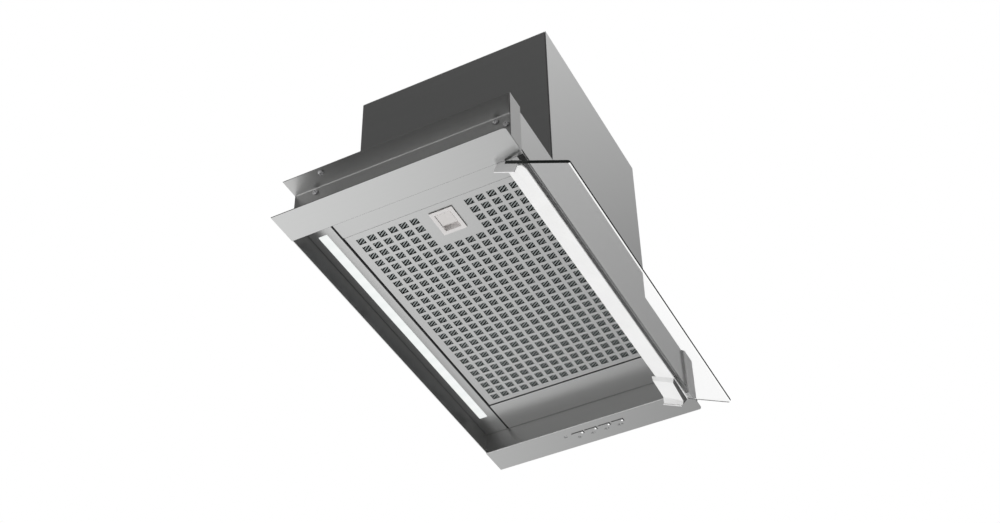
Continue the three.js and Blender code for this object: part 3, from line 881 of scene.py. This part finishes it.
screw_head = screw_mesh()
for side, facing in (("left", -1), ("right", 1)):
    for place in ("rear", "front", "low", "flange"):
        node = f"screw_{side}_{place}"
        low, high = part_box(node)
        centre = (low + high) / 2
        if place == "flange":
            direction, seat = (0, 0, -1), Vector((centre.x, centre.y, high.z - SHANK * MM))
        else:
            inner = low.x if facing > 0 else high.x
            direction = (facing, 0, 0)
            seat = Vector((inner + facing * SHANK * MM, centre.y, centre.z))
        mesh = screw_head.copy()
        # Each cross stops at an angle of its own, so far as the names' lengths differ.
        spin = Matrix.Rotation(math.radians(20 + 37 * len(node)), 3, "Z")
        mesh.transform(Matrix.Translation(seat) @ (pointing(direction) @ spin).to_4x4())
        piece(f"{node}_head", "casing", CHROME, mesh, [node])


def rivets():
    """Blind rivets along the folded seams at the back and on top."""
    bm = bmesh.new()
    from_side, from_top, rear_dome = 7 * MM, 8 * MM, 0.2
    dome = [(0, -0.2), (2.4, -0.2), (2.4, 0.25), (2.0, 0.7), (1.1, 1.0), (0.9, 0.8), (0, 0.8)]
    back_low, back_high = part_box("duct_box_back")
    panel_low, panel_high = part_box("back_panel")
    top_low, top_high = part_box("duct_box_top")
    spots = []
    for share in (0.42, 0.62, 0.82, 0.97):
        z = back_low.z + (back_high.z - back_low.z) * share
        for x in (back_low.x + from_side, back_high.x - from_side):
            spots.append((Vector((x, back_high.y, z)), (0, 1, 0)))
    for share in (0.02, 0.26, 0.5, 0.74, 0.98):
        x = panel_low.x + (panel_high.x - panel_low.x) * share
        spots.append((Vector((x, panel_high.y, panel_high.z - from_top)), (0, 1, 0)))
    for sx in (0.04, 0.5, 0.96):
        for sy in (0.04, 0.96):
            x = top_low.x + (top_high.x - top_low.x) * sx
            y = top_low.y + (top_high.y - top_low.y) * sy
            spots.append((Vector((x, y, top_high.z)), (0, 0, 1)))
    for centre, direction in spots:
        # The back has to lie against a wall, so its rivets are nearly flush.
        rise = rear_dome if direction[1] else 1.0
        profile = [(r, h * rise) for r, h in dome]
        add_lathe(bm, profile, centre, pointing(direction), 20)
    return bm


piece("seam_rivets", "casing", CHROME, rivets())


# ---- duct spigot and cable gland ---------------------------------------------------------------
def closed_lathe(bm, profile, centre, segments):
    """A lathe whose profile ends where it starts."""
    add_lathe(bm, profile, centre, UP, segments)
    bmesh.ops.remove_doubles(bm, verts=bm.verts, dist=1e-7)


def spigot():
    """The collar with its flange, bead, and inner seat for the two flaps."""
    bm = bmesh.new()
    low, high = hood_box("duct_spigot")
    middle = (low + high) / 2
    height = high.z - low.z
    flange_r = (high.x - low.x) / 2
    outer_r = flange_r - 7
    inner_r = outer_r - 1.5
    seat_r = inner_r - 2.3
    seat = hood_box("damper_flap_front")[0].z - low.z
    profile = [
        (inner_r, 0), (flange_r - 0.6, 0), (flange_r, 0.5), (flange_r, 1.2), (flange_r - 0.6, 1.6),
        (outer_r + 1.6, 1.6), (outer_r + 0.4, 2.1), (outer_r, 3.4), (outer_r, height - 7),
        (outer_r - 0.2, height - 6.4), (outer_r - 0.2, height - 0.7), (outer_r - 0.6, height),
        (inner_r + 0.5, height), (inner_r, height - 0.6), (inner_r, seat), (seat_r, seat - 0.6),
        (seat_r, seat - 1.6), (inner_r, seat - 3.2), (inner_r, 0),
    ]
    closed_lathe(bm, profile, at(middle.x, middle.y, low.z), 96)
    return bm


piece("spigot_collar", "casing", BLACK, spigot(), ["duct_spigot"])


def gland():
    """The gland's hexagon and its barrel with the clamping cap."""
    bm = bmesh.new()
    low, high = hood_box("cable_gland")
    centre = at((low.x + high.x) / 2, (low.y + high.y) / 2, low.z)
    rise = high.z - low.z
    corner, hexagon_low, hexagon_high = 9.2, 9.4, 14.0
    turns = [math.radians(60 * i) for i in range(6)]
    hexagon = [(corner * math.cos(turn), corner * math.sin(turn)) for turn in turns]
    add_prism(bm, hexagon, hexagon_low, hexagon_high, about(centre))
    barrel = [
        (3.6, 0), (6, 0), (6, 9.3), (9.8, 9.3), (9.8, 9.6), (7.9, 13.8), (8.2, 14.4),
        (8.2, rise - 6), (7.6, rise - 3), (6.2, rise - 0.6), (5.4, rise), (3.6, rise - 0.4),
        (3.6, 0),
    ]
    closed_lathe(bm, barrel, centre, 48)
    return bm


piece("cable_gland_nut", "casing", BLACK, gland(), ["cable_gland"])


# ---- marks beside the buttons ------------------------------------------------------------------
buttons = [hood_box(f"button_{i}") for i in range(1, 5)]
button_x = (buttons[0][0].x + buttons[0][1].x) / 2
MARK_X = button_x + 7.8
MARK_Z = -0.02
MARK_PROUD = 0.06


def ring_mark(bm, y, outer, inner):
    segments = 28
    place = about(at(MARK_X, y, MARK_Z))
    turns = [2 * math.pi * i / segments for i in range(segments)]
    rings = [
        [bm.verts.new(place(r * math.cos(turn), r * math.sin(turn), h)) for turn in turns]
        for r, h in ((outer, 0), (inner, 0), (inner, -MARK_PROUD), (outer, -MARK_PROUD))
    ]
    for a, b in zip(rings, rings[1:] + rings[:1]):
        for i in range(segments):
            j = (i + 1) % segments
            bm.faces.new((a[i], a[j], b[j], b[i]))


def bar_mark(bm, x, y, length, width, turn):
    c, s = math.cos(turn), math.sin(turn)
    corners = [
        (x + a * c - b * s, y + a * s + b * c)
        for a, b in (
            (-length / 2, -width / 2), (length / 2, -width / 2),
            (length / 2, width / 2), (-length / 2, width / 2),
        )
    ]
    add_prism(bm, corners, MARK_Z - MARK_PROUD, MARK_Z, at)


def rays(bm, y, angles, reach, length, width, twist):
    """Bars around a mark's middle, one at each angle in degrees."""
    for angle in angles:
        turn = math.radians(angle)
        x_out, y_out = reach * math.cos(turn), reach * math.sin(turn)
        bar_mark(bm, MARK_X + x_out, y + y_out, length, width, turn + twist)


def key_marks():
    """A lamp, and fans with one, two and three bars: the common signs for such keys."""
    bm = bmesh.new()
    above, first_bar, bar_pitch = 1.2, 2.2, 0.9
    for i, (low, high) in enumerate(buttons):
        y = (low.y + high.y) / 2
        if i == 0:
            ring_mark(bm, y + above, 1.7, 1.25)
            rays(bm, y + above, range(-70, 71, 35), 2.9, 1.0, 0.35, 0)
            continue
        ring_mark(bm, y + above, 0.7, 0.3)
        rays(bm, y + above, (90, 210, 330), 1.5, 1.5, 0.8, 0.5)
        for k in range(i):
            bar_mark(bm, MARK_X, y - first_bar - bar_pitch * k, 2.4, 0.4, 0)
    return bm


piece("key_marks", "casing", DARK_INK, key_marks(), smooth=0)
DOT = [(0, 0), (1.15, 0), (1.1, 0.15), (0.8, 0.3), (0, 0.4)]
DOT_FROM_END, DOT_SUNK = 2.1, 0.02
for i, (low, _) in enumerate(buttons, 1):
    bm = bmesh.new()
    spot = at(button_x, low.y + DOT_FROM_END, low.z + DOT_SUNK)
    add_lathe(bm, DOT, spot, pointing((0, 0, -1)), 20)
    piece(f"button_dot_{i}", f"key_{i}", LIT_DOT, bm)


# ---- studio ------------------------------------------------------------------------------------
# Light on matt surfaces: a broad source towards this direction, fading evenly to the far side.
BROAD_FROM = (0.158, 0.872, -0.463)
BROAD_MEAN, BROAD_SWING, BROAD_LEAST = 0.59, 1.18, 0.13
# What shiny surfaces mirror: an even surround, and soft boxes that each have a direction from
# the hood, a strength, and how tight they are. No reflection is brighter than BRIGHTEST.
SURROUND = 0.06
BRIGHTEST = 1.12
SOFT_BOXES = (
    ((0.40, 0.62, -0.68), 1.5, 11.0),
    ((0.44, -0.25, 0.857), 1.06, 19.0),
    ((-0.65, 0.35, -0.65), 0.15, 6.0),
    ((-0.60, 0.30, -0.75), 0.6, 50.0),
    ((0.0, 0.35, -0.94), 0.9, 15.0),
    ((0.1, 0.15, 0.98), 0.7, 12.0),
    ((0.72, 0.68, 0.1), 0.5, 9.0),
    ((0.3, 0.86, 0.4), 0.7, 12.0),
    ((0.92, 0.4, 0.1), 0.5, 14.0),
    ((-0.45, -0.78, 0.42), 0.15, 14.0),
    ((0.36, -0.90, 0.26), 0.5, 14.0),
    ((0.69, -0.34, -0.64), 0.08, 9.0),
    ((-0.75, -0.6, 0.0), 0.12, 12.0),
    ((-0.85, 0.3, 0.1), 0.1, 10.0),
)


def studio_light():
    """A sky that looks white to the camera, and like soft lights to the surfaces."""
    world = bpy.data.worlds.new("studio")
    bpy.context.scene.world = world
    world.cycles.sampling_method = "NONE"
    world.use_nodes = True
    tree = world.node_tree
    tree.nodes.clear()
    new, link = tree.nodes.new, tree.links.new
    out = new("ShaderNodeOutputWorld")
    towards = new("ShaderNodeTexCoord").outputs["Generated"]

    def maths(how, *values):
        return math_node(tree, how, *values)

    def facing(direction):
        dot = new("ShaderNodeVectorMath")
        dot.operation = "DOT_PRODUCT"
        link(towards, dot.inputs[0])
        dot.inputs[1].default_value = Vector(direction).normalized()
        return dot.outputs["Value"]

    mirrored = SURROUND
    for centre, strength, tightness in SOFT_BOXES:
        falloff = maths("MULTIPLY", maths("SUBTRACT", facing(centre), 1.0), tightness)
        lobe = maths("MULTIPLY", maths("EXPONENT", falloff), strength)
        mirrored = maths("ADD", lobe, mirrored)
    mirrored = maths("MINIMUM", mirrored, BRIGHTEST)
    broad = maths("ADD", maths("MULTIPLY", facing(BROAD_FROM), BROAD_SWING), BROAD_MEAN)
    broad = maths("MAXIMUM", broad, BROAD_LEAST)
    path = new("ShaderNodeLightPath")
    matt = path.outputs["Is Diffuse Ray"]
    on_matt = maths("MULTIPLY", broad, matt)
    on_shiny = maths("MULTIPLY", mirrored, maths("SUBTRACT", 1.0, matt))
    light = new("ShaderNodeBackground")
    link(maths("ADD", on_matt, on_shiny), light.inputs["Strength"])
    white = new("ShaderNodeBackground")
    white.inputs["Color"].default_value = (1, 1, 1, 1)
    seen = maths("MAXIMUM", path.outputs["Is Camera Ray"], path.outputs["Is Transmission Ray"])
    mix = new("ShaderNodeMixShader")
    link(seen, mix.inputs["Fac"])
    link(light.outputs[0], mix.inputs[1])
    link(white.outputs[0], mix.inputs[2])
    link(mix.outputs[0], out.inputs["Surface"])


studio_light()

# A pale floor far below, which only the camera sees.
FLOOR_HALF, FLOOR_Z = 14.0, -2.6
corners = [(x * FLOOR_HALF, y * FLOOR_HALF) for x, y in ((-1, -1), (1, -1), (1, 1), (-1, 1))]
floor_mesh = bpy.data.meshes.new("floor")
floor_mesh.from_pydata([(x, y, FLOOR_Z) for x, y in corners], [], [(0, 1, 2, 3)])
floor_mesh.materials.append(moulded(
    "floor_paper", (0.6, 0.6, 0.6), 0.9, grain=60.0, depth=0.02,
    Emission_Color=(1, 1, 1, 1), Emission_Strength=0.62,
))
floor = bpy.data.objects.new("floor", floor_mesh)
bpy.context.scene.collection.objects.link(floor)
for ray in ("diffuse", "glossy", "shadow"):
    setattr(floor, f"visible_{ray}", False)

# The photograph's viewpoint, solved from the hood's corners: millimetres and degrees.
CAMERA_AT = (-1222.68, -602.80, -1134.31)
CAMERA_TURN = (131.9802, 0.9491, -62.8405)
CAMERA_LENS, CAMERA_SENSOR, CAMERA_FAR = 55.134, 36.0, 100.0
camera_data = bpy.data.cameras.new("camera")
camera_data.sensor_width = CAMERA_SENSOR
camera_data.sensor_fit = "HORIZONTAL"
camera_data.lens = CAMERA_LENS
camera_data.clip_end = CAMERA_FAR
camera = bpy.data.objects.new("camera", camera_data)
camera.location = at(*CAMERA_AT)
camera.rotation_euler = [math.radians(angle) for angle in CAMERA_TURN]
bpy.context.scene.collection.objects.link(camera)
bpy.context.scene.camera = camera
bpy.context.scene.view_settings.view_transform = "Standard"
